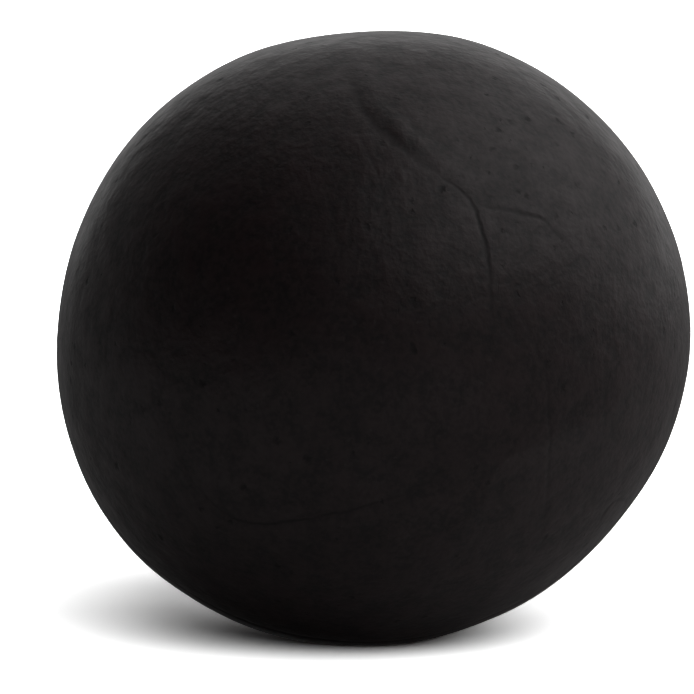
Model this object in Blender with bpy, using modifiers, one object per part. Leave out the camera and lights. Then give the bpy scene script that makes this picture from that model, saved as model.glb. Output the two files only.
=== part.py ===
"""Watch case opening friction ball: a hollow ball of soft black rubber, blown up through a needle valve.

It is pressed on a screwed watch case back and turned, and its tacky skin grips the back.
The wall is two half shells, bonded along one joint. The rear shell holds a flanged valve housing,
and the housing holds a self-sealing core. +Z is up, and the ball rests on a patch pressed flat.
"""

import math

import bmesh
import bpy
from mathutils import Matrix, Vector

MM = 0.001

# Driving dimensions of the ball
BALL_RADIUS = 32.5 * MM
WALL = 4.0 * MM
STRETCH = 0.64 * MM  # the long axis stands out by this, and the short axis falls in by it
STRETCH_TILT = math.radians(25)  # of the long axis above +X
BASE_PRESS = 0.9 * MM  # how far the soft base is pushed up where it rests
BOND_LINE = 0.3 * MM  # thickness of the cement between the shells
JOINT_TILT = math.radians(20)  # the valve looks back along +Y, and down by this
GAP = 0.3 * MM  # between pieces that touch

# Driving dimensions of the valve, along its own axis, with the ball's skin at 0
VALVE_RECESS = 0.5 * MM
BARREL_RADIUS = 4.5 * MM
BARREL_END_RADIUS = 3.6 * MM
BARREL_LENGTH = 15.5 * MM
FLANGE_RADIUS = 9.0 * MM
FLANGE_THICKNESS = 1.6 * MM
HEAD_RADIUS = 3.5 * MM
HEAD_THICKNESS = 1.3 * MM
STEM_RADIUS = 2.1 * MM
BULB_RADIUS = 3.2 * MM
BULB_LENGTH = 2.8 * MM
BULB_TIP_RADIUS = 1.6 * MM
BULB_TAPER = 1.4 * MM
NEEDLE_RADIUS = 0.6 * MM
FUNNEL_RADIUS = 1.3 * MM
FUNNEL_DEPTH = 0.8 * MM
NEEDLE_DEPTH = 12.0 * MM

# Fineness. An odd number of rings keeps the joint off an edge of the mesh.
BALL_SEGMENTS = 60
BALL_RINGS = 31
TURNED_STEPS = 40
ARC_STEPS = 6

# Places that follow from the dimensions
LONG_AXIS = Vector((math.cos(STRETCH_TILT), 0, math.sin(STRETCH_TILT)))
SHORT_AXIS = Vector((-math.sin(STRETCH_TILT), 0, math.cos(STRETCH_TILT)))
VALVE_AXIS = Vector((0, math.cos(JOINT_TILT), -math.sin(JOINT_TILT)))
LOW_REACH = math.hypot(
    (BALL_RADIUS + STRETCH) * math.sin(STRETCH_TILT),
    (BALL_RADIUS - STRETCH) * math.cos(STRETCH_TILT),
)
CENTRE = Vector((0, 0, LOW_REACH - BASE_PRESS))
BLOCK_SIZE = 4 * BALL_RADIUS

RUBBER_COLOUR = (0.020, 0.017, 0.018, 1)
VALVE_COLOUR = (0.028, 0.026, 0.026, 1)


def clear_scene():
    for obj in list(bpy.data.objects):
        bpy.data.objects.remove(obj)


def new_collection(name):
    collection = bpy.data.collections.new(name)
    bpy.context.scene.collection.children.link(collection)
    return collection


def rubber(name, colour, roughness):
    material = bpy.data.materials.new(name)
    material.use_nodes = True
    shader = material.node_tree.nodes["Principled BSDF"]
    shader.inputs["Base Color"].default_value = colour
    shader.inputs["Roughness"].default_value = roughness
    shader.inputs["Metallic"].default_value = 0.0
    return material


def add_part(name, mesh, collection, material):
    obj = bpy.data.objects.new(name, mesh)
    collection.objects.link(obj)
    mesh.materials.append(material)
    return obj


def add_cutter(name, mesh, collection):
    obj = bpy.data.objects.new(name, mesh)
    collection.objects.link(obj)
    obj.hide_render = True
    obj.display_type = "WIRE"
    return obj


def cut(obj, cutter):
    modifier = obj.modifiers.new(f"Cut by {cutter.name}", "BOOLEAN")
    modifier.operation = "DIFFERENCE"
    modifier.object = cutter


def turned_to(axis):
    """The rotation that carries +Z onto axis."""
    return axis.to_track_quat("Z", "Y").to_matrix().to_4x4()


def skin_radius(direction):
    """Distance from the ball's centre to its skin, a sphere drawn out one way and drawn in across it."""
    pull = direction.dot(LONG_AXIS) ** 2 - direction.dot(SHORT_AXIS) ** 2
    return BALL_RADIUS + STRETCH * pull


def ball_mesh(name, inset):
    """The closed surface that lies inset inside the skin, before its base is pressed flat."""
    shape = bmesh.new()
    bmesh.ops.create_uvsphere(shape, u_segments=BALL_SEGMENTS, v_segments=BALL_RINGS, radius=1)
    bmesh.ops.transform(shape, matrix=turned_to(VALVE_AXIS), verts=shape.verts)
    for vertex in shape.verts:
        direction = vertex.co.normalized()
        vertex.co = CENTRE + direction * (skin_radius(direction) - inset)
    mesh = bpy.data.meshes.new(name)
    shape.to_mesh(mesh)
    shape.free()
    mesh.shade_smooth()
    return mesh


def block_mesh(name, point, axis):
    """A block with one face through point, lying on the side that axis points to."""
    shape = bmesh.new()
    bmesh.ops.create_cube(shape, size=BLOCK_SIZE)
    place = Matrix.Translation(point + axis * (BLOCK_SIZE / 2)) @ turned_to(axis)
    bmesh.ops.transform(shape, matrix=place, verts=shape.verts)
    mesh = bpy.data.meshes.new(name)
    shape.to_mesh(mesh)
    shape.free()
    return mesh


def profile_mesh(name, points, closed):
    """An outline in the XZ plane, for a Screw modifier to turn about Z."""
    count = len(points)
    edges = [(i, (i + 1) % count) for i in range(count if closed else count - 1)]
    mesh = bpy.data.meshes.new(name)
    mesh.from_pydata([(x, 0, z) for x, z in points], edges, [])
    return mesh


def turn(obj):
    screw = obj.modifiers.new("Turned", "SCREW")
    screw.steps = TURNED_STEPS
    screw.render_steps = TURNED_STEPS
    screw.use_merge_vertices = True
    screw.merge_threshold = 0.000001
    screw.use_normal_calculate = False


def arc(radius, centre_z, start, end, steps=ARC_STEPS):
    """Points (x, z) on a circle about (0, centre_z), at angles from the Z axis."""
    angles = [start + (end - start) * i / steps for i in range(steps + 1)]
    return [(radius * math.sin(a), centre_z + radius * math.cos(a)) for a in angles]


def shell(name, collection, material, cutters):
    obj = add_part(name, ball_mesh(name, 0), collection, material)
    for cutter in cutters:
        cut(obj, cutter)


def ball_shells(parts, helpers, material):
    """The two halves of the wall. The rear one has the valve's hole and the resting patch."""
    chamber = add_cutter("chamber", ball_mesh("chamber", WALL), helpers)
    down = Vector((0, 0, -1))
    floor = add_cutter("floor", block_mesh("floor", Vector(), down), helpers)
    chamber_floor = block_mesh("chamber_floor", Vector((0, 0, WALL)), down)
    cut(chamber, add_cutter("chamber_floor", chamber_floor, helpers))

    half_bond = VALVE_AXIS * (BOND_LINE / 2)
    behind_mesh = block_mesh("behind_joint", CENTRE - half_bond, VALVE_AXIS)
    behind = add_cutter("behind_joint", behind_mesh, helpers)
    ahead_mesh = block_mesh("ahead_of_joint", CENTRE + half_bond, -VALVE_AXIS)
    ahead = add_cutter("ahead_of_joint", ahead_mesh, helpers)

    shell("front_shell", parts, material, [floor, chamber, behind])
    shell("rear_shell", parts, material, [floor, chamber, ahead, valve_hole(helpers)])


def valve_place():
    """The valve's own frame: its origin on the skin, and +Z out of the ball."""
    return Matrix.Translation(CENTRE + VALVE_AXIS * skin_radius(VALVE_AXIS)) @ turned_to(VALVE_AXIS)


def valve_hole(helpers):
    shape = bmesh.new()
    radius = BARREL_RADIUS + GAP
    bmesh.ops.create_cone(
        shape, cap_ends=True, segments=TURNED_STEPS, radius1=radius, radius2=radius, depth=4 * WALL
    )
    mesh = bpy.data.meshes.new("valve_hole")
    shape.to_mesh(mesh)
    shape.free()
    obj = add_cutter("valve_hole", mesh, helpers)
    obj.matrix_world = valve_place()
    return obj


def valve_housing(parts, material):
    """A flanged barrel, bonded to the wall from inside. Its outer end has a seat for the core's head."""
    skin = skin_radius(VALVE_AXIS)
    dome = skin - WALL - GAP
    under_dome = dome - FLANGE_THICKNESS
    bore = STEM_RADIUS + GAP
    seat = HEAD_RADIUS + GAP
    seat_floor = -VALVE_RECESS - HEAD_THICKNESS - 2 * GAP
    flange_top = arc(dome, -skin, math.asin(BARREL_RADIUS / dome), math.asin(FLANGE_RADIUS / dome))
    flange_under = arc(
        under_dome, -skin, math.asin(FLANGE_RADIUS / under_dome), math.asin(BARREL_RADIUS / under_dome)
    )
    points = [(BARREL_RADIUS, -VALVE_RECESS), *flange_top, *flange_under]
    points += [(BARREL_END_RADIUS, -BARREL_LENGTH), (bore, -BARREL_LENGTH)]
    points += [(bore, seat_floor), (seat, seat_floor), (seat, -VALVE_RECESS)]
    obj = add_part("valve_housing", profile_mesh("valve_housing", points, closed=True), parts, material)
    obj.matrix_world = valve_place()
    turn(obj)


def valve_core(parts, material):
    """A soft plug with a blind needle channel. Its end bulb keeps it in the housing."""
    head_top = -VALVE_RECESS - GAP
    head_under = head_top - HEAD_THICKNESS
    bulb_top = -BARREL_LENGTH - GAP
    bulb_end = bulb_top - BULB_LENGTH
    points = [(0, head_top - NEEDLE_DEPTH), (NEEDLE_RADIUS, head_top - NEEDLE_DEPTH)]
    points += [(NEEDLE_RADIUS, head_top - FUNNEL_DEPTH), (FUNNEL_RADIUS, head_top)]
    points += [(HEAD_RADIUS, head_top), (HEAD_RADIUS, head_under), (STEM_RADIUS, head_under)]
    points += [(STEM_RADIUS, bulb_top), (BULB_RADIUS, bulb_top), (BULB_RADIUS, bulb_end + BULB_TAPER)]
    points += [(BULB_TIP_RADIUS, bulb_end), (0, bulb_end)]
    obj = add_part("valve_core", profile_mesh("valve_core", points, closed=False), parts, material)
    obj.matrix_world = valve_place()
    turn(obj)


def main():
    clear_scene()
    parts = new_collection("Case opening friction ball")
    helpers = new_collection("Cutters")
    helpers.hide_render = True
    skin = rubber("Soft black rubber", RUBBER_COLOUR, 0.62)
    valve = rubber("Valve rubber", VALVE_COLOUR, 0.5)
    ball_shells(parts, helpers, skin)
    valve_housing(parts, valve)
    valve_core(parts, valve)


main()
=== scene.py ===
"""Looks of a watch case opening friction ball: a hollow ball of soft black rubber with an inflation valve."""

import math

import bmesh
import bpy
from mathutils import Matrix, Vector

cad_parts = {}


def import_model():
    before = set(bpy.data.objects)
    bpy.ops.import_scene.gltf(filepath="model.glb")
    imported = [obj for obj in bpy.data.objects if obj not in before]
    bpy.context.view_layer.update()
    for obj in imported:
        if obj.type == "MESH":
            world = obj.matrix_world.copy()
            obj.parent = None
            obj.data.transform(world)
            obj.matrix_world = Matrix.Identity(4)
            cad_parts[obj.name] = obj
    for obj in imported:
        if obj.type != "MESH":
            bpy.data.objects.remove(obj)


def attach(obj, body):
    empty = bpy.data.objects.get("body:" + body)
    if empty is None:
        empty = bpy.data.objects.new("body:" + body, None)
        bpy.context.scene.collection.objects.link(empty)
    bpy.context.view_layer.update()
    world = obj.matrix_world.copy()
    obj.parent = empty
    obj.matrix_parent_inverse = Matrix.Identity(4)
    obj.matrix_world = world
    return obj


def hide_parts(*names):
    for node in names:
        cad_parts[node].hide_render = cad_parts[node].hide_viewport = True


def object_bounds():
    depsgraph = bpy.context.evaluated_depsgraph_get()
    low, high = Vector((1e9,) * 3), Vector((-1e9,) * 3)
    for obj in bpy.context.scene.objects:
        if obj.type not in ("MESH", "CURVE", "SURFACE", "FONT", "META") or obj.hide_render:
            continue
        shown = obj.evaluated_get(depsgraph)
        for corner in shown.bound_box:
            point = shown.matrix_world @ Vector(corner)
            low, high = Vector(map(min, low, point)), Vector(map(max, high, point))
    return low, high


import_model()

CAD_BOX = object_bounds()
MM = 0.001

# Form of the ball, as it is moulded and blown up
RADIUS = 32.5 * MM
WALL = 4.0 * MM
STRETCH = 0.64 * MM
STRETCH_TILT = math.radians(25)
BASE_SOFTNESS = 0.3 * MM  # width of the bend round the patch that it rests on
JOINT_TILT = math.radians(20)  # the valve looks back and down by this
JOINT_GAP = 0.02 * MM
JOINT_GROOVE = 0.07 * MM
JOINT_GROOVE_WIDTH = 0.35 * MM
HALF_ROWS = 75  # rows of faces from a shell's joint to the middle of its dome

# Uneven thickness of the moulded wall: broad lumps, and a fine orange peel
LUMP_SIZE = 16 * MM
LUMP_HEIGHT = 0.5 * MM
PEEL_SIZE = 2.2 * MM
PEEL_HEIGHT = 0.03 * MM

# How a shell's faces are laid out on the flat side of half a cube
RIM_SHARE = 0.05  # the part of it that makes the rim
JUST_INSIDE = 0.9999  # where the rim starts, so that the cube's own edge counts as outer skin
TINY = 0.00001  # keeps the middle of the flat side from dividing by nothing

# Soft swells (+) and hollows (-) of the slack wall: (azimuth, elevation) in degrees from the front,
# breadth in degrees, and height in millimetres
SWELLS = [
    ((-90, 86), 12, -0.40),
    ((-90, 52), 17, 0.33),
    ((-90, 7), 15, -0.36),
    ((-90, -43), 14, 0.20),
    ((90, -44), 16, -0.20),
    ((90, -6), 12, 0.24),
    ((90, 20), 13, -0.13),
]

# Folds and creases: points (azimuth, elevation) in degrees, and how strong the line is there
FOLDS = [
    [(22, 31, 0.3), (17.7, 34.3, 0.5), (12, 38.6, 0.8), (5, 44, 1.1),
     (-2, 51, 1.3), (-7, 60, 1.2), (-10, 66, 0.6)],
    [(-45, -2, 0.1), (-37, -15, 0.2), (-35, -23, 0.3), (-28, -28.5, 0.4), (-15, -27.5, 0.4),
     (-2, -24.5, 0.4), (3, -24, 0.4), (11.5, -18.5, 0.3), (21, -12.5, 0.1)],
    [(95, 48, 0.3), (108, 41, 0.7), (118, 30, 0.8), (121, 17, 0.4)],
    [(-152, 52, 0.4), (-140, 38, 0.8), (-118, 30, 0.6), (-104, 33, 0.3)],
    [(-165, -40, 0.3), (-148, -34, 0.6), (-130, -36, 0.5), (-118, -30, 0.3)],
]
CREASES = [
    [(11, 40, 0.2), (16, 35.5, 0.7), (19, 33, 1.0), (21, 30, 1.0), (21.5, 25.5, 1.0), (22, 20, 1.0),
     (21.5, 10, 0.25), (21, -2, 0.15)],
    [(-40, -12, 0.3), (-36, -20, 0.5), (-33, -25, 0.6), (-27, -28.5, 0.8), (-15, -27.5, 0.7),
     (-6, -25.5, 0.8), (0, -24, 0.6), (6, -22, 0.5), (14, -17, 0.2)],
    [(25, 15, 0.25), (31.5, 0, 0.3), (34.5, -15.5, 0.3), (38.5, -30.5, 0.25), (43, -40, 0.2)],
    [(-8, 51, 0.1), (1, 37, 0.2), (3, 25, 0.1)],
    [(59, -33.5, 0.5), (58.5, -29, 0.5), (64, -28, 0.4), (72, -31.5, 0.4)],
    [(118, 30, 0.8), (127, 26, 0.9), (136, 27, 0.5)],
    [(112, 2, 0.3), (118, -12, 0.6), (128, -20, 0.4)],
    [(-140, 38, 0.7), (-137, 25, 0.9), (-141, 12, 0.4)],
    [(160, 62, 0.3), (172, 50, 0.6), (176, 36, 0.4)],
    [(-90, 20, 0.3), (-84, 6, 0.6), (-92, -8, 0.4)],
]
# Creases that start on another one
BRANCHES = [
    [(20.5, 31.5, 0.8), (25, 29.4, 0.8), (30, 28.4, 0.8), (34.5, 27.2, 0.8), (38, 24, 0.6), (41, 20, 0.4)],
]

# How each set of lines is pressed in: width, depth, lip and wander in millimetres, and the name under which
# the skin keeps its place across the line
PRESSES = {
    "Folds": (1.10, 0.05, 0.09, 1.4, "fold_line"),
    "Creases": (0.32, 0.06, 0.03, 1.0, "crease_line"),
    "Branches": (0.32, 0.05, 0.02, 1.0, "branch_line"),
}
GUIDE_POINTS = 90
WANDER_WAVES = 14.0  # over one radius of the ball
END_FADE = 0.6  # a smaller power keeps a line strong nearer to its ends
# Across a line, in its own widths
VALLEY_SPREAD = 0.8
LIP_PLACE = 1.7
LIP_SPREAD = 1.0
FADE_START = 3.0
FADE_END = 5.0

# The valve, in its own frame: 0 is the skin, and minus is into the ball
VALVE_RECESS = 0.5 * MM
BARREL_RADIUS = 4.5 * MM
BARREL_END_RADIUS = 3.6 * MM
BARREL_LENGTH = 15.5 * MM
FLANGE_RADIUS = 9.0 * MM
FLANGE_THICKNESS = 1.6 * MM
HEAD_RADIUS = 3.5 * MM
HEAD_THICKNESS = 1.3 * MM
STEM_RADIUS = 2.1 * MM
BULB_RADIUS = 3.2 * MM
BULB_LENGTH = 2.8 * MM
BULB_TIP_RADIUS = 1.6 * MM
BULB_TAPER = 1.4 * MM
NEEDLE_RADIUS = 0.6 * MM
FUNNEL_RADIUS = 1.3 * MM
FUNNEL_DEPTH = 0.8 * MM
NEEDLE_DEPTH = 12.0 * MM
GAP = 0.3 * MM
MOUTH_ROUNDING = 0.5 * MM  # the lip of the hole in the wall
CUTTER_OVERLAP = 2 * MM
SHARP_ANGLE = math.radians(40)
ROUNDS = 96

# Settings that many nodes share
PLUS = {"operation": "ADD"}
MINUS = {"operation": "SUBTRACT"}
TIMES = {"operation": "MULTIPLY"}
OVER = {"operation": "DIVIDE"}
TIMES_PLUS = {"operation": "MULTIPLY_ADD"}
MOST = {"operation": "MAXIMUM"}
SCALED = {"operation": "SCALE"}
DOT = {"operation": "DOT_PRODUCT"}
UNIT = {"operation": "NORMALIZE"}
SMOOTH = {"interpolation_type": "SMOOTHSTEP"}
FLOAT = {"data_type": "FLOAT"}
COLOUR = {"data_type": "RGBA"}


def linear(code, alpha=1.0):
    """An sRGB hex colour as linear numbers."""
    parts = [int(code[i : i + 2], 16) / 255 for i in (1, 3, 5)]
    return [p / 12.92 if p <= 0.04045 else ((p + 0.055) / 1.055) ** 2.4 for p in parts] + [alpha]


def add(tree, kind, settings=None, links=None):
    """A node with its settings, and its inputs by name or number: each a value, a socket, or another node."""
    node = tree.nodes.new(kind)
    for name, value in (settings or {}).items():
        setattr(node, name, value)
    for name, value in (links or {}).items():
        if isinstance(value, bpy.types.Node):
            value = next(s for s in value.outputs if s.enabled)
        if isinstance(value, bpy.types.NodeSocket):
            tree.links.new(value, node.inputs[name])
        else:
            node.inputs[name].default_value = value
    return node


def direction(azimuth, elevation):
    """A point on the unit ball. Azimuth 0 is the front and 90 the right."""
    a = math.radians(azimuth)
    e = math.radians(elevation)
    return Vector((math.sin(a) * math.cos(e), -math.cos(a) * math.cos(e), math.sin(e)))


def new_tree(name, inputs):
    """A geometry tree with a Geometry output, and the named inputs."""
    tree = bpy.data.node_groups.new(name, "GeometryNodeTree")
    tree.interface.new_socket("Geometry", in_out="OUTPUT", socket_type="NodeSocketGeometry")
    for label, kind in inputs:
        tree.interface.new_socket(label, in_out="INPUT", socket_type="NodeSocket" + kind)
    return tree, tree.nodes.new("NodeGroupInput").outputs


def crease_tree():
    """Presses a line into the skin along guide curves: a valley, and a soft lip along one side of it."""
    tree, given = new_tree(
        "Crease",
        [("Geometry", "Geometry"), ("Guides", "Object"), ("Radius", "Float"), ("Width", "Float"),
         ("Depth", "Float"), ("Lip", "Float"), ("Wander", "Float"), ("Line Name", "String")],
    )
    guides = add(tree, "GeometryNodeObjectInfo", links={"Object": given["Guides"]})
    line = add(
        tree, "GeometryNodeResampleCurve", links={"Curve": guides.outputs["Geometry"], "Count": GUIDE_POINTS}
    )
    for name, kind, source, data in (
        ("along", "GeometryNodeSplineParameter", "Factor", "FLOAT"),
        ("way", "GeometryNodeInputTangent", "Tangent", "FLOAT_VECTOR"),
        ("strength", "GeometryNodeInputRadius", "Radius", "FLOAT"),
    ):
        value = add(tree, kind).outputs[source]
        line = add(
            tree, "GeometryNodeStoreNamedAttribute", {"data_type": data, "domain": "POINT"},
            {"Geometry": line, "Name": name, "Value": value},
        )
    line = add(tree, "GeometryNodeCurveToMesh", links={"Curve": line})

    place = add(tree, "GeometryNodeInputPosition")
    out = add(tree, "ShaderNodeVectorMath", UNIT, {0: place})
    on_ball = add(tree, "ShaderNodeVectorMath", SCALED, {0: out, "Scale": given["Radius"]})
    noise = add(tree, "ShaderNodeTexNoise", links={"Vector": out, "Scale": WANDER_WAVES, "Detail": 2.0})
    noise = add(tree, "ShaderNodeVectorMath", MINUS, {0: noise.outputs["Color"], 1: (0.5, 0.5, 0.5)})
    noise = add(tree, "ShaderNodeVectorMath", SCALED, {0: noise, "Scale": given["Wander"]})
    spot = add(tree, "ShaderNodeVectorMath", PLUS, {0: on_ball, 1: noise})
    from_line = {"Geometry": line, "Sample Position": spot}
    near = add(tree, "GeometryNodeProximity", {"target_element": "EDGES"}, from_line)
    index = add(tree, "GeometryNodeSampleNearest", {"domain": "POINT"}, from_line)
    found = {}
    for name, data in (("along", "FLOAT"), ("way", "FLOAT_VECTOR"), ("strength", "FLOAT")):
        stored = add(tree, "GeometryNodeInputNamedAttribute", {"data_type": data}, {"Name": name})
        found[name] = add(
            tree, "GeometryNodeSampleIndex", {"data_type": data, "domain": "POINT"},
            {"Geometry": line, "Value": stored, "Index": index},
        )
    across = add(tree, "ShaderNodeVectorMath", {"operation": "CROSS_PRODUCT"}, {0: found["way"], 1: out})
    away = add(tree, "ShaderNodeVectorMath", MINUS, {0: spot, 1: near.outputs["Position"]})
    side = add(tree, "ShaderNodeVectorMath", DOT, {0: away, 1: across})

    # The line fades at both ends and away from it
    end = add(tree, "ShaderNodeMath", TIMES, {0: found["along"], 1: math.pi})
    end = add(tree, "ShaderNodeMath", {"operation": "SINE"}, {0: end})
    end = add(tree, "ShaderNodeMath", {"operation": "POWER", "use_clamp": True}, {0: end, 1: END_FADE})
    force = add(tree, "ShaderNodeMath", TIMES, {0: end, 1: found["strength"]})
    reach = add(tree, "ShaderNodeMath", OVER, {0: near.outputs["Distance"], 1: given["Width"]})
    close = add(
        tree, "ShaderNodeMapRange", SMOOTH,
        {"Value": reach, "From Min": FADE_START, "From Max": FADE_END, "To Min": 1.0, "To Max": 0.0},
    )
    force = add(tree, "ShaderNodeMath", TIMES, {0: force, 1: close})

    def bell(middle, spread):
        """exp(-((side / width - middle) / spread) ** 2)"""
        x = add(tree, "ShaderNodeMath", OVER, {0: side, 1: given["Width"]})
        x = add(tree, "ShaderNodeMath", MINUS, {0: x, 1: middle})
        x = add(tree, "ShaderNodeMath", OVER, {0: x, 1: spread})
        x = add(tree, "ShaderNodeMath", TIMES, {0: x, 1: x})
        x = add(tree, "ShaderNodeMath", TIMES, {0: x, 1: -1.0})
        return add(tree, "ShaderNodeMath", {"operation": "EXPONENT"}, {0: x})

    lip = add(tree, "ShaderNodeMath", TIMES, {0: bell(LIP_PLACE, LIP_SPREAD), 1: given["Lip"]})
    valley = add(tree, "ShaderNodeMath", TIMES, {0: bell(0.0, VALLEY_SPREAD), 1: given["Depth"]})
    height = add(tree, "ShaderNodeMath", MINUS, {0: lip, 1: valley})
    height = add(tree, "ShaderNodeMath", TIMES, {0: height, 1: force})
    outer = add(tree, "GeometryNodeInputNamedAttribute", FLOAT, {"Name": "outer"})
    height = add(tree, "ShaderNodeMath", TIMES, {0: height, 1: outer})
    lift = add(tree, "ShaderNodeVectorMath", SCALED, {0: out, "Scale": height})
    kept = add(tree, "ShaderNodeCombineXYZ", links={"X": side, "Y": force, "Z": near.outputs["Distance"]})
    pressed = add(
        tree, "GeometryNodeStoreNamedAttribute", {"data_type": "FLOAT_VECTOR", "domain": "POINT"},
        {"Geometry": given["Geometry"], "Name": given["Line Name"], "Value": kept},
    )
    pressed = add(tree, "GeometryNodeSetPosition", links={"Geometry": pressed, "Offset": lift})
    add(tree, "NodeGroupOutput", links={"Geometry": pressed})
    return tree


def wall_tree():
    """Half of the ball's wall, closed: the dome, the flat rim at the joint, and the inner dome."""
    tree, given = new_tree(
        "Ball wall",
        [("Half Rows", "Int"), ("Radius", "Float"), ("Wall", "Float"), ("Turn", "Float"),
         ("Centre", "Vector"), ("Long Axis", "Vector"), ("Short Axis", "Vector"), ("Stretch", "Float"),
         ("Joint Gap", "Float"), ("Joint Groove", "Float"), ("Groove Width", "Float"),
         ("Lump Size", "Float"), ("Lump Height", "Float"), ("Peel Size", "Float"), ("Peel Height", "Float"),
         ("Base Softness", "Float"), ("Folds", "Object"), ("Creases", "Object"), ("Branches", "Object"),
         ("Rubber", "Material")],
    )
    # Half a cube, whose flat side is turned in to make the rim and the inner dome
    across = add(tree, "ShaderNodeMath", TIMES_PLUS, {0: given["Half Rows"], 1: 2.0, 2: 1.0})
    up = add(tree, "ShaderNodeMath", PLUS, {0: given["Half Rows"], 1: 1.0})
    cube = add(
        tree, "GeometryNodeMeshCube",
        links={"Size": (2, 2, 1), "Vertices X": across, "Vertices Y": across, "Vertices Z": up},
    )
    place = add(tree, "GeometryNodeInputPosition")
    place = add(tree, "ShaderNodeVectorMath", PLUS, {0: place, 1: (0, 0, 0.5)})
    size = add(tree, "ShaderNodeVectorMath", {"operation": "ABSOLUTE"}, {0: place})
    size = add(tree, "ShaderNodeSeparateXYZ", links={0: size})
    most = add(tree, "ShaderNodeMath", MOST, {0: size.outputs["X"], 1: size.outputs["Y"]})
    most = add(tree, "ShaderNodeMath", MOST, {0: most, 1: size.outputs["Z"]})
    most = add(tree, "ShaderNodeMath", MOST, {0: most, 1: TINY})
    share = add(tree, "ShaderNodeMath", OVER, {0: math.pi / 4, 1: most})
    flat = add(tree, "ShaderNodeVectorMath", SCALED, {0: place, "Scale": share})
    flat = add(tree, "ShaderNodeVectorMath", {"operation": "TANGENT"}, {0: flat})
    flat = add(tree, "ShaderNodeVectorMath", UNIT, {0: flat})
    inner_edge = 1 - RIM_SHARE
    inward = add(
        tree, "ShaderNodeMapRange", links={"Value": most, "From Min": JUST_INSIDE, "From Max": inner_edge}
    )
    angle = add(
        tree, "ShaderNodeMapRange", links={"Value": most, "From Max": inner_edge, "To Max": math.pi / 2}
    )
    sine = add(tree, "ShaderNodeMath", {"operation": "SINE"}, {0: angle})
    cosine = add(tree, "ShaderNodeMath", {"operation": "COSINE"}, {0: angle})
    pole = add(tree, "ShaderNodeCombineXYZ", links={"Z": cosine})
    out = add(tree, "ShaderNodeVectorMath", SCALED, {0: flat, "Scale": sine})
    out = add(tree, "ShaderNodeVectorMath", PLUS, {0: out, 1: pole})
    above = add(tree, "ShaderNodeSeparateXYZ", links={0: out}).outputs["Z"]
    turn = {"Vector": out, "Angle": given["Turn"]}
    out = add(tree, "ShaderNodeVectorRotate", {"rotation_type": "X_AXIS"}, turn)

    # Distance from the centre to the skin
    radius = given["Radius"]
    for axis, sign in (("Long Axis", 1.0), ("Short Axis", -1.0)):
        dot = add(tree, "ShaderNodeVectorMath", DOT, {0: out, 1: given[axis]})
        dot = add(tree, "ShaderNodeMath", TIMES, {0: dot, 1: dot})
        dot = add(tree, "ShaderNodeMath", TIMES, {0: dot, 1: given["Stretch"]})
        radius = add(tree, "ShaderNodeMath", TIMES_PLUS, {0: dot, 1: sign, 2: radius})
    inner = add(tree, "ShaderNodeMath", MINUS, {0: radius, 1: given["Wall"]})
    for (azimuth, elevation), breadth, height in SWELLS:
        dot = add(tree, "ShaderNodeVectorMath", DOT, {0: out, 1: direction(azimuth, elevation)})
        dot = add(tree, "ShaderNodeMath", MINUS, {0: dot, 1: 1.0})
        dot = add(tree, "ShaderNodeMath", OVER, {0: dot, 1: math.radians(breadth) ** 2})
        dot = add(tree, "ShaderNodeMath", {"operation": "EXPONENT"}, {0: dot})
        radius = add(tree, "ShaderNodeMath", TIMES_PLUS, {0: dot, 1: height * MM, 2: radius})
    for label, detail in (("Lump", 1.0), ("Peel", 2.0)):
        size = given[label + " Size"]
        most_height = given[label + " Height"]
        scale = add(tree, "ShaderNodeMath", OVER, {0: given["Radius"], 1: size})
        noise = add(tree, "ShaderNodeTexNoise", links={"Vector": out, "Scale": scale, "Detail": detail})
        noise = add(tree, "ShaderNodeMath", MINUS, {0: noise, 1: 0.5})
        radius = add(tree, "ShaderNodeMath", TIMES_PLUS, {0: noise, 1: most_height, 2: radius})
    groove = add(tree, "ShaderNodeMath", TIMES, {0: above, 1: given["Radius"]})
    groove = add(tree, "ShaderNodeMath", OVER, {0: groove, 1: given["Groove Width"]})
    groove = add(tree, "ShaderNodeMath", TIMES, {0: groove, 1: groove})
    groove = add(tree, "ShaderNodeMath", TIMES, {0: groove, 1: -1.0})
    groove = add(tree, "ShaderNodeMath", {"operation": "EXPONENT"}, {0: groove})
    groove = add(tree, "ShaderNodeMath", TIMES, {0: groove, 1: given["Joint Groove"]})
    radius = add(tree, "ShaderNodeMath", MINUS, {0: radius, 1: groove})
    reach = add(tree, "ShaderNodeMix", FLOAT, {0: inward, 2: radius, 3: inner})
    skin = add(tree, "ShaderNodeVectorMath", SCALED, {0: out, "Scale": reach})
    outer = add(tree, "ShaderNodeMath", MINUS, {0: 1.0, 1: inward})
    wall = add(
        tree, "GeometryNodeStoreNamedAttribute", {"data_type": "FLOAT", "domain": "POINT"},
        {"Geometry": cube, "Name": "outer", "Value": outer},
    )
    wall = add(tree, "GeometryNodeSetPosition", links={"Geometry": wall, "Position": skin})
    return tree, given, wall


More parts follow.
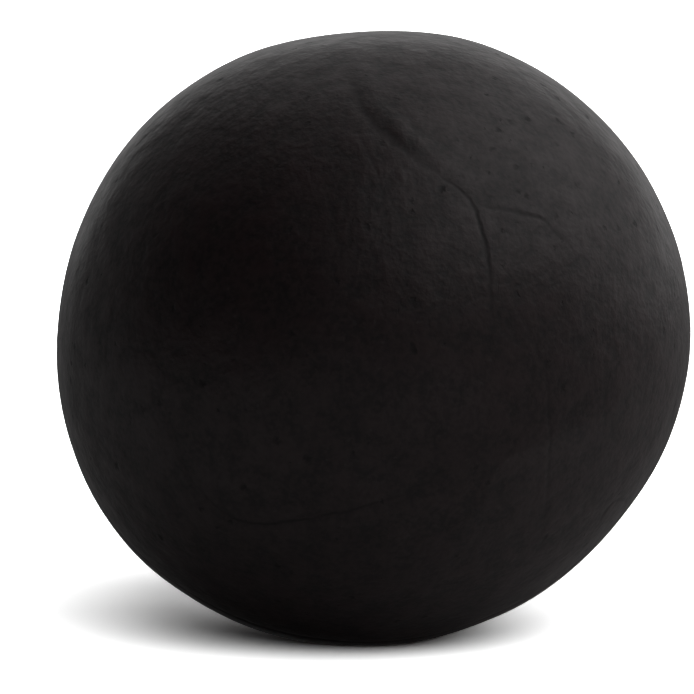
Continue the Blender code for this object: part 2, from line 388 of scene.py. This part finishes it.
def finish_wall_tree(tree, given, wall, crease):
    """Presses the creases in, puts the wall in place, and presses its base flat."""
    for label, (width, depth, lip, wander, line) in PRESSES.items():
        wall = add(
            tree, "GeometryNodeGroup", {"node_tree": crease},
            {"Geometry": wall, "Guides": given[label], "Radius": given["Radius"], "Width": width * MM,
             "Depth": depth * MM, "Lip": lip * MM, "Wander": wander * MM, "Line Name": line},
        )
    place = add(tree, "GeometryNodeInputPosition")
    axis = add(
        tree, "ShaderNodeVectorRotate", {"rotation_type": "X_AXIS"},
        {"Vector": (0, 0, 0.5), "Angle": given["Turn"]},
    )
    apart = add(tree, "ShaderNodeVectorMath", SCALED, {0: axis, "Scale": given["Joint Gap"]})
    place = add(tree, "ShaderNodeVectorMath", PLUS, {0: place, 1: apart})
    place = add(tree, "ShaderNodeVectorMath", PLUS, {0: place, 1: given["Centre"]})
    part = add(tree, "ShaderNodeSeparateXYZ", links={0: place})
    inside = add(tree, "GeometryNodeInputNamedAttribute", FLOAT, {"Name": "outer"})
    inside = add(tree, "ShaderNodeMath", MINUS, {0: 1.0, 1: inside})
    lowest = add(tree, "ShaderNodeMath", TIMES, {0: inside, 1: given["Wall"]})
    level = add(
        tree, "ShaderNodeMath", {"operation": "SMOOTH_MAX"},
        {0: part.outputs["Z"], 1: lowest, 2: given["Base Softness"]},
    )
    place = {"X": part.outputs["X"], "Y": part.outputs["Y"], "Z": level}
    place = add(tree, "ShaderNodeCombineXYZ", links=place)
    wall = add(tree, "GeometryNodeSetPosition", links={"Geometry": wall, "Position": place})
    wall = add(tree, "GeometryNodeSetShadeSmooth", links={"Geometry": wall})
    wall = add(tree, "GeometryNodeRealizeInstances", links={"Geometry": wall})
    wall = add(tree, "GeometryNodeSetMaterial", links={"Geometry": wall, "Material": given["Rubber"]})
    add(tree, "NodeGroupOutput", links={"Geometry": wall})


def guide_curves(name, lines):
    """Curves on the ball, about its own centre. A point's radius holds how strong the line is there."""
    curve = bpy.data.curves.new(name, "CURVE")
    curve.dimensions = "3D"
    for points in lines:
        spline = curve.splines.new("BEZIER")
        spline.bezier_points.add(len(points) - 1)
        for point, (azimuth, elevation, strength) in zip(spline.bezier_points, points):
            point.co = direction(azimuth, elevation) * RADIUS
            point.radius = strength
            point.handle_left_type = "AUTO"
            point.handle_right_type = "AUTO"
    obj = bpy.data.objects.new(name, curve)
    bpy.context.scene.collection.objects.link(obj)
    return obj


def set_inputs(modifier, values):
    sockets = {s.name: s.identifier for s in modifier.node_group.interface.items_tree if s.in_out == "INPUT"}
    for name, value in values.items():
        modifier[sockets[name]] = value


def plain_mesh(obj, name):
    """The evaluated object as a plain mesh in a new object, and the first one removed."""
    graph = bpy.context.evaluated_depsgraph_get()
    mesh = bpy.data.meshes.new_from_object(obj.evaluated_get(graph), depsgraph=graph)
    bpy.data.objects.remove(obj)
    mesh.name = name
    piece = bpy.data.objects.new(name, mesh)
    bpy.context.scene.collection.objects.link(piece)
    return piece


LONG_AXIS = Vector((math.cos(STRETCH_TILT), 0, math.sin(STRETCH_TILT)))
SHORT_AXIS = Vector((-math.sin(STRETCH_TILT), 0, math.cos(STRETCH_TILT)))
HIGH_REACH = math.hypot(
    (RADIUS + STRETCH) * math.sin(STRETCH_TILT), (RADIUS - STRETCH) * math.cos(STRETCH_TILT)
)
CENTRE = Vector((
    (CAD_BOX[0].x + CAD_BOX[1].x) / 2,
    (CAD_BOX[0].y + CAD_BOX[1].y) / 2,
    CAD_BOX[1].z - HIGH_REACH,
))
VALVE_AXIS = Vector((0, math.cos(JOINT_TILT), -math.sin(JOINT_TILT)))


def shell_skin(name, tree, turn, guides, rubber):
    obj = bpy.data.objects.new(name + "_maker", bpy.data.meshes.new(name + "_maker"))
    bpy.context.scene.collection.objects.link(obj)
    modifier = obj.modifiers.new("Ball wall", "NODES")
    modifier.node_group = tree
    set_inputs(modifier, {
        "Half Rows": HALF_ROWS,
        "Radius": RADIUS,
        "Wall": WALL,
        "Turn": turn,
        "Centre": CENTRE,
        "Long Axis": LONG_AXIS,
        "Short Axis": SHORT_AXIS,
        "Stretch": STRETCH,
        "Joint Gap": JOINT_GAP,
        "Joint Groove": JOINT_GROOVE,
        "Groove Width": JOINT_GROOVE_WIDTH,
        "Lump Size": LUMP_SIZE,
        "Lump Height": LUMP_HEIGHT,
        "Peel Size": PEEL_SIZE,
        "Peel Height": PEEL_HEIGHT,
        "Base Softness": BASE_SOFTNESS,
        **guides,
        "Rubber": rubber,
    })
    return plain_mesh(obj, name)


VALVE_SKIN = RADIUS + STRETCH * (VALVE_AXIS.dot(LONG_AXIS) ** 2 - VALVE_AXIS.dot(SHORT_AXIS) ** 2)
# The valve's own frame: its origin on the skin, and +Z out of the ball
VALVE_PLACE = Matrix.Translation(CENTRE + VALVE_AXIS * VALVE_SKIN) @ (
    VALVE_AXIS.to_track_quat("Z", "Y").to_matrix().to_4x4()
)


def softened(corners, closed, steps=6):
    """An outline of (radius, height) with its corners rounded. A corner is (radius, height, rounding)."""
    points = []
    last = len(corners) - 1
    for i, (radius, height, rounding) in enumerate(corners):
        here = Vector((radius, height))
        if rounding == 0 or (not closed and i in (0, last)):
            points.append(here)
            continue
        before = Vector(corners[i - 1][:2]) - here
        after = Vector(corners[(i + 1) % len(corners)][:2]) - here
        reach = min(rounding, before.length * 0.49, after.length * 0.49)
        start = here + before.normalized() * reach
        end = here + after.normalized() * reach
        for k in range(steps + 1):
            t = k / steps
            points.append((1 - t) ** 2 * start + 2 * t * (1 - t) * here + t ** 2 * end)
    return points


def turned(name, outline, closed):
    """A solid turned about the valve's axis from its outline, and put in its place."""
    shape = bmesh.new()
    rings = []
    for point in outline:
        if point.x == 0:  # on the axis
            rings.append([shape.verts.new((0, 0, point.y))])
            continue
        angles = [2 * math.pi * k / ROUNDS for k in range(ROUNDS)]
        places = [(point.x * math.cos(a), point.x * math.sin(a), point.y) for a in angles]
        rings.append([shape.verts.new(place) for place in places])
    for i in range(len(rings) if closed else len(rings) - 1):
        one = rings[i]
        two = rings[(i + 1) % len(rings)]
        for k in range(ROUNDS):
            near = [one[k % len(one)], one[(k + 1) % len(one)]]
            far = [two[(k + 1) % len(two)], two[k % len(two)]]
            corners = list(dict.fromkeys(near + far))  # a ring on the axis is one point, which counts once
            if len(corners) > 2:
                shape.faces.new(corners)
    bmesh.ops.recalc_face_normals(shape, faces=shape.faces)
    bmesh.ops.transform(shape, matrix=VALVE_PLACE, verts=shape.verts)
    mesh = bpy.data.meshes.new(name)
    shape.to_mesh(mesh)
    shape.free()
    mesh.shade_smooth()
    mesh.set_sharp_from_angle(angle=SHARP_ANGLE)
    obj = bpy.data.objects.new(name, mesh)
    bpy.context.scene.collection.objects.link(obj)
    return obj


def with_valve_hole(skin):
    """The rear skin with a round hole for the valve, and a soft lip round its mouth."""
    hole = BARREL_RADIUS + GAP
    edge = RADIUS - math.sqrt(RADIUS ** 2 - hole ** 2)  # how far the skin has dropped at the hole
    lip = MOUTH_ROUNDING
    bottom = -WALL - CUTTER_OVERLAP
    corners = [
        (0, bottom, 0), (hole, bottom, 0), (hole, -edge, lip),
        (hole + 2.5 * lip, -edge + lip, 0), (0, -edge + 2.5 * lip, 0),
    ]
    cutter = turned("valve_hole", softened(corners, closed=False, steps=8), closed=False)
    modifier = skin.modifiers.new("Valve hole", "BOOLEAN")
    modifier.operation = "DIFFERENCE"
    modifier.solver = "MANIFOLD"
    modifier.object = cutter
    name = skin.name
    skin.name = name + "_blank"
    piece = plain_mesh(skin, name)
    bpy.data.objects.remove(cutter)
    piece.data.set_sharp_from_angle(angle=SHARP_ANGLE)
    return piece


def dome_arc(radius, start, end, steps=8):
    """An outline along a dome about the ball's centre, between two distances from the valve's axis."""
    angles = [math.asin(start / radius), math.asin(end / radius)]
    angles = [angles[0] + (angles[1] - angles[0]) * k / steps for k in range(steps + 1)]
    return [(radius * math.sin(a), radius * math.cos(a) - VALVE_SKIN) for a in angles]


def valve_collar():
    """The housing: a barrel with a flange bonded to the wall from inside, and a seat for the plug's head."""
    dome = VALVE_SKIN - WALL - GAP
    bore = STEM_RADIUS + GAP
    seat = HEAD_RADIUS + GAP
    seat_floor = -VALVE_RECESS - HEAD_THICKNESS - 2 * GAP
    above = dome_arc(dome, BARREL_RADIUS, FLANGE_RADIUS)
    below = dome_arc(dome - FLANGE_THICKNESS, FLANGE_RADIUS, BARREL_RADIUS)
    ends = (above[0], above[-1], below[0], below[-1])
    flange = [(r, z, 0.4 * MM if (r, z) in ends else 0) for r, z in above + below]
    corners = [
        (BARREL_RADIUS, -VALVE_RECESS, 0.3 * MM), *flange, (BARREL_END_RADIUS, -BARREL_LENGTH, 0.4 * MM),
        (bore, -BARREL_LENGTH, 0.2 * MM), (bore, seat_floor, 0.1 * MM), (seat, seat_floor, 0.1 * MM),
        (seat, -VALVE_RECESS, 0.3 * MM),
    ]
    return turned("valve_collar", softened(corners, closed=True), closed=True)


def valve_plug():
    """The core: a soft plug with a funnel and a blind needle channel, held in by its end bulb."""
    top = -VALVE_RECESS - GAP
    under = top - HEAD_THICKNESS
    bulb = -BARREL_LENGTH - GAP
    end = bulb - BULB_LENGTH
    corners = [
        (0, top - NEEDLE_DEPTH, 0), (NEEDLE_RADIUS, top - NEEDLE_DEPTH, 0.2 * MM),
        (NEEDLE_RADIUS, top - FUNNEL_DEPTH, 0.3 * MM), (FUNNEL_RADIUS, top, 0.4 * MM),
        (HEAD_RADIUS, top, 0.35 * MM), (HEAD_RADIUS, under, 0.1 * MM), (STEM_RADIUS, under, 0.1 * MM),
        (STEM_RADIUS, bulb, 0.1 * MM), (BULB_RADIUS, bulb, 0.5 * MM),
        (BULB_RADIUS, end + BULB_TAPER, 0.6 * MM), (BULB_TIP_RADIUS, end, 0.5 * MM), (0, end, 0),
    ]
    return turned("valve_plug", softened(corners, closed=False), closed=False)


# Places rubbed by cases, tables and fingers: (azimuth, elevation) in degrees, breadth in degrees, strength
SCUFFS = [
    ((35, 32), 12, 1.0),
    ((48, 52), 10, 0.7),
    ((75, 40), 14, 0.8),
    ((-25, -22), 11, 0.35),
    ((59, -30), 8, 0.5),
    ((130, 20), 15, 0.7),
    ((-150, 35), 16, 0.8),
    ((-110, -10), 12, 0.5),
]
SCUFF_REACH = 1.6  # how far out a rubbed place fades, in its own breadths

PIT_SPACING = 1.5  # millimetres
PIT_SIZES = (0.14, 0.42)  # smallest and largest radius, in spacings
PIT_FLOOR = 0.2  # the level bottom's share of the radius
PIT_BEND = 0.9 * MM  # how far the grain pushes a pit's edge about


def scale_of(size):
    """A pattern's scale, from the size of its features in millimetres."""
    return 1 / (size * MM)


def moulded_rubber():
    """Soft black natural rubber, moulded in a plain steel mould, dusted with talc, then handled for years.
    It is a warm near black, half matt, with soft mottling, a fine grain, shallow pits and grey rubbed places,
    and painted shade in the bottoms of its creases and pits.
    """
    material = bpy.data.materials.new("Moulded soft black natural rubber")
    material.use_nodes = True
    tree = material.node_tree
    shader = tree.nodes["Principled BSDF"]
    shader.inputs["Coat Weight"].default_value = 0.2  # skin oil and wax, seen only towards the outline
    shader.inputs["Coat Roughness"].default_value = 0.3
    spot = add(tree, "ShaderNodeTexCoord").outputs["Object"]
    noises = []
    for size, detail in (
        (9.0, 3.0),  # cloud: thick and thin talc
        (2.4, 4.0),  # mottle: where the rubber flowed and cooled
        (0.6, 2.0),  # grain: the mould's own face, drawn twice as coarse as it is
        (0.7, 1.0),  # fleck: dust held in the grain
    ):
        links = {"Vector": spot, "Scale": scale_of(size), "Detail": detail}
        noises.append(add(tree, "ShaderNodeTexNoise", links=links))
    cloud, mottle, grain, fleck = noises

    # What each noise does: from where to where it rises, and what it gives at both ends
    share = {}
    for name, source, low, high, first, last in (
        ("wear", mottle, 0.35, 0.65, 0.3, 1.0),
        ("line", mottle, 0.35, 0.60, 0.4, 1.0),
        ("warm", mottle, 0.30, 0.70, 0.0, 1.0),
        ("pale", grain, 0.35, 0.70, 0.0, 0.7),
        ("talc", cloud, 0.45, 0.75, 0.0, 0.16),
        ("talc in grain", grain, 0.35, 0.65, 0.3, 1.3),
        ("dust", fleck, 0.68, 0.80, 0.0, 1.0),
        ("gloss", mottle, 0.30, 0.70, 0.64, 0.54),
    ):
        links = {"Value": source, "From Min": low, "From Max": high, "To Min": first, "To Max": last}
        share[name] = add(tree, "ShaderNodeMapRange", SMOOTH, links)

    # Where it is rubbed
    out = add(tree, "ShaderNodeVectorMath", MINUS, {0: spot, 1: CENTRE})
    out = add(tree, "ShaderNodeVectorMath", UNIT, {0: out})
    rubbed = 0.0
    for (azimuth, elevation), breadth, strength in SCUFFS:
        toward = add(tree, "ShaderNodeVectorMath", DOT, {0: out, 1: direction(azimuth, elevation)})
        edge = math.cos(math.radians(breadth * SCUFF_REACH))
        links = {"Value": toward.outputs["Value"], "From Min": edge, "To Max": strength}
        near = add(tree, "ShaderNodeMapRange", SMOOTH, links)
        rubbed = add(tree, "ShaderNodeMath", MOST, {0: rubbed, 1: near})
    worn = add(tree, "ShaderNodeMath", TIMES, {0: rubbed, 1: share["wear"]})

    # Shallow pits of uneven shape, one here and there, and more of them where it is rubbed
    bent = add(tree, "ShaderNodeVectorMath", SCALED, {0: grain.outputs["Color"], "Scale": PIT_BEND})
    bent = add(tree, "ShaderNodeVectorMath", PLUS, {0: spot, 1: bent})
    cell = add(tree, "ShaderNodeTexVoronoi", links={"Vector": bent, "Scale": scale_of(PIT_SPACING)})
    chance = add(tree, "ShaderNodeSeparateColor", links={0: cell.outputs["Color"]})
    links = {"Value": chance.outputs[1], "To Min": PIT_SIZES[0], "To Max": PIT_SIZES[1]}
    size = add(tree, "ShaderNodeMapRange", SMOOTH, links)
    pit = add(tree, "ShaderNodeMath", OVER, {0: cell.outputs["Distance"], 1: size})
    links = {"Value": pit, "From Min": PIT_FLOOR, "To Min": 1.0, "To Max": 0.0}
    pit = add(tree, "ShaderNodeMapRange", SMOOTH, links)
    chance = add(tree, "ShaderNodeMath", TIMES_PLUS, {0: worn, 1: 0.8, 2: chance.outputs[0]})
    chance = add(tree, "ShaderNodeMapRange", SMOOTH, {"Value": chance, "From Min": 0.80, "From Max": 0.95})
    pit = add(tree, "ShaderNodeMath", TIMES, {0: pit, 1: chance})

    # The bottoms of the folds and creases: pressed in, less glossy, and drawn darker as painted shade
    lines = 0.0
    for name, width, depth in (
        ("fold_line", 0.9, 0.45), ("crease_line", 0.4, 0.9), ("branch_line", 0.4, 0.8),
    ):
        line = add(tree, "ShaderNodeAttribute", {"attribute_name": name})
        line = add(tree, "ShaderNodeSeparateXYZ", links={0: line.outputs["Vector"]})
        side = add(tree, "ShaderNodeMath", {"operation": "ABSOLUTE"}, {0: line.outputs["X"]})
        links = {"Value": side, "From Max": width * MM, "To Min": depth, "To Max": 0.0}
        deep = add(tree, "ShaderNodeMapRange", SMOOTH, links)
        deep = add(tree, "ShaderNodeMath", TIMES, {0: deep, 1: line.outputs["Y"]})
        lines = add(tree, "ShaderNodeMath", MOST, {0: lines, 1: deep})
    lines = add(tree, "ShaderNodeMath", TIMES, {0: lines, 1: share["line"]})

    # Colour: the rubber, and what lies over it, from the lowest layer up, with painted shade in the creases
    # and pits last
    bloom = add(tree, "ShaderNodeMath", TIMES_PLUS, {0: worn, 1: 0.30, 2: share["talc"]})
    bloom = add(tree, "ShaderNodeMath", TIMES, {0: bloom, 1: share["talc in grain"]})
    bloom = add(tree, "ShaderNodeMath", TIMES_PLUS, {0: share["dust"], 1: 0.30, 2: bloom})
    # Painted shade: the bottoms of the creases and the pits are drawn near black (#070405), for the shade
    # that falls in them
    crease_and_pit_shade = add(tree, "ShaderNodeMath", TIMES, {0: pit, 1: 0.75})
    crease_and_pit_shade = add(tree, "ShaderNodeMath", MOST, {0: lines, 1: crease_and_pit_shade})
    colour = linear("#140A0C")
    for layer, code in (
        (share["warm"], "#29191B"), (share["pale"], "#2F2021"), (bloom, "#423C3D"), (crease_and_pit_shade, "#070405"),
    ):
        colour = add(tree, "ShaderNodeMix", COLOUR, {0: layer, 6: colour, 7: linear(code)}).outputs[2]
    tree.links.new(colour, shader.inputs["Base Color"])

    # Gloss: talc and rubbing make it duller, and the bottoms of the creases hardly shine
    dull = add(tree, "ShaderNodeMath", TIMES_PLUS, {0: bloom, 1: 0.15, 2: share["gloss"]})
    dull = add(tree, "ShaderNodeMath", TIMES_PLUS, {0: crease_and_pit_shade, 1: 0.3, 2: dull})
    tree.links.new(dull.outputs[0], shader.inputs["Roughness"])

    # Relief: how far each stands up, in millimetres
    height = 0.0
    for source, rise in ((cloud, 0.25), (mottle, 0.15), (grain, 0.022), (pit, -0.030), (lines, -0.06)):
        height = add(tree, "ShaderNodeMath", TIMES_PLUS, {0: source, 1: rise, 2: height})
    relief = add(tree, "ShaderNodeBump", links={"Strength": 1.0, "Distance": MM, "Height": height})
    tree.links.new(relief.outputs["Normal"], shader.inputs["Normal"])
    tree.links.new(relief.outputs["Normal"], shader.inputs["Coat Normal"])
    return material


def valve_rubber():
    """Valve rubber, moulded in a polished mould and wet with glycerine.
    It is smoother and glossier than the ball's."""
    material = bpy.data.materials.new("Moulded smooth valve rubber")
    material.use_nodes = True
    tree = material.node_tree
    shader = tree.nodes["Principled BSDF"]
    spot = add(tree, "ShaderNodeTexCoord").outputs["Object"]
    cloud = add(tree, "ShaderNodeTexNoise", links={"Vector": spot, "Scale": scale_of(1.6), "Detail": 2.0})
    grain = add(tree, "ShaderNodeTexNoise", links={"Vector": spot, "Scale": scale_of(0.25), "Detail": 1.0})
    colour = add(
        tree, "ShaderNodeMix", COLOUR, {0: cloud, 6: linear("#171415"), 7: linear("#2B2828")}
    )
    tree.links.new(colour.outputs[2], shader.inputs["Base Color"])
    dull = add(tree, "ShaderNodeMapRange", links={"Value": cloud, "To Min": 0.30, "To Max": 0.50})
    tree.links.new(dull.outputs[0], shader.inputs["Roughness"])
    height = add(tree, "ShaderNodeMath", TIMES_PLUS, {0: grain, 1: 0.2, 2: cloud})
    relief = add(tree, "ShaderNodeBump", links={"Strength": 1.0, "Distance": 0.02 * MM, "Height": height})
    tree.links.new(relief.outputs["Normal"], shader.inputs["Normal"])
    return material


FLOOR_SIZE = 12
FLOOR_GAIN = 2.6  # the paper is overexposed to plain white
FLOOR_BOUNCE = 0.45  # and little of its light reaches the ball
SOFTNESS = 60  # degrees of sky that one light fills

# Soft lights round the ball: azimuth and elevation in degrees, and strength
LIGHTS = {
    "right_key": (90, 48, 0.43),
    "front_key": (45, 48, 0.35),
    "right_rear": (130, 22, 0.33),
    "rear_high": (180, 48, 0.26),
    "rear_top": (180, 68, 0.10),
    "left_rear": (230, 6, 0.12),
}
# White cards at the ball's own height, kept off the floor
CARDS = {
    "rear_card": (180, 0, 0.71),
    "right_card": (110, 0, 0.15),
    "low_right_card": (90, -25, 0.16),
    "low_rear_card": (135, -15, 0.11),
}
FLOOR_WASH = (15, 42, 2.8)  # lights only the floor, with the ball in its way


def stage_floor():
    """A white paper sweep, overexposed to the eye, that throws little light back on the ball."""
    bpy.ops.mesh.primitive_plane_add(size=FLOOR_SIZE)
    floor = bpy.context.object
    floor.name = "floor"
    material = bpy.data.materials.new("White paper sweep")
    material.use_nodes = True
    tree = material.node_tree
    tree.nodes.clear()
    path = add(tree, "ShaderNodeLightPath")
    seen = add(tree, "ShaderNodeBsdfDiffuse", links={"Color": (FLOOR_GAIN,) * 3 + (1,)})
    bounced = add(tree, "ShaderNodeBsdfDiffuse", links={"Color": (FLOOR_BOUNCE,) * 3 + (1,)})
    paper = add(tree, "ShaderNodeMixShader", links={0: path.outputs["Is Camera Ray"], 1: bounced, 2: seen})
    add(tree, "ShaderNodeOutputMaterial", links={"Surface": paper})
    floor.data.materials.append(material)
    return floor


def sun(name, azimuth, elevation, strength, only=(), past=(), bounces=32):
    """A soft studio light, large and far away. It lights all, or only some objects past some others."""
    light = bpy.data.lights.new(name, "SUN")
    light.angle = math.radians(SOFTNESS)
    light.energy = strength
    light.cycles.max_bounces = bounces
    obj = bpy.data.objects.new(name, light)
    bpy.context.scene.collection.objects.link(obj)
    obj.rotation_mode = "QUATERNION"
    obj.rotation_quaternion = direction(azimuth, elevation).to_track_quat("Z", "Y")
    if only:
        obj.light_linking.receiver_collection = bpy.data.collections.new(name + "_lit")
        obj.light_linking.blocker_collection = bpy.data.collections.new(name + "_shades")
        for lit in only:
            obj.light_linking.receiver_collection.objects.link(lit)
        for shade in past:
            obj.light_linking.blocker_collection.objects.link(shade)
    return obj


CAMERA_ELEVATION = 7
CAMERA_DISTANCE = 0.7
FRAME_WIDTH = 72.0 * MM  # what the picture takes in at the ball
AIM = Vector((-2.53, -1.02, 0)) * MM  # left of and below the ball's centre, as the camera sees it


def camera():
    data = bpy.data.cameras.new("camera")
    data.sensor_width = 36
    data.lens = data.sensor_width * CAMERA_DISTANCE / FRAME_WIDTH
    obj = bpy.data.objects.new("camera", data)
    bpy.context.scene.collection.objects.link(obj)
    back = direction(0, CAMERA_ELEVATION)
    turn = back.to_track_quat("Z", "Y")
    obj.location = CENTRE + turn @ AIM + back * CAMERA_DISTANCE
    obj.rotation_mode = "QUATERNION"
    obj.rotation_quaternion = turn
    bpy.context.scene.camera = obj


def world():
    """White where the camera sees past the floor. It gives no light: only the studio lights do."""
    made = bpy.data.worlds.new("studio")
    bpy.context.scene.world = made
    made.use_nodes = True
    tree = made.node_tree
    tree.nodes.clear()
    path = add(tree, "ShaderNodeLightPath")
    seen = add(tree, "ShaderNodeBackground", links={"Color": (1, 1, 1, 1), "Strength": 1.0})
    mixed = add(tree, "ShaderNodeMixShader", links={0: path.outputs["Is Camera Ray"], 2: seen})
    add(tree, "ShaderNodeOutputWorld", links={"Surface": mixed})


def build():
    bpy.context.scene.view_settings.view_transform = "Standard"
    rubber = moulded_rubber()
    crease = crease_tree()
    tree, given, wall = wall_tree()
    finish_wall_tree(tree, given, wall, crease)
    lines = {"Folds": FOLDS, "Creases": CREASES, "Branches": BRANCHES}
    guides = {label: guide_curves(label.lower() + "_guides", points) for label, points in lines.items()}
    front_turn = math.pi / 2 - JOINT_TILT
    front = shell_skin("front_skin", tree, front_turn, guides, rubber)
    rear = shell_skin("rear_skin", tree, front_turn - math.pi, guides, rubber)
    for guide in guides.values():
        bpy.data.objects.remove(guide)
    rear = with_valve_hole(rear)
    collar = valve_collar()
    plug = valve_plug()
    smooth = valve_rubber()
    for piece, node, slot in (
        (front, "front_shell", "shell_rubber"),
        (rear, "rear_shell", "shell_rubber"),
        (collar, "valve_housing", "valve_rubber"),
        (plug, "valve_core", "valve_rubber"),
    ):
        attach(piece, "root")
        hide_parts(node)
    for piece in (collar, plug):
        piece.data.materials.append(smooth)
    ball = [front, rear, collar, plug]
    floor = stage_floor()
    for name, light in LIGHTS.items():
        sun(name, *light)
    for name, light in CARDS.items():
        sun(name, *light, only=ball, past=ball)
    sun("floor_wash", *FLOOR_WASH, only=[floor], past=ball, bounces=0)
    world()
    camera()


build()
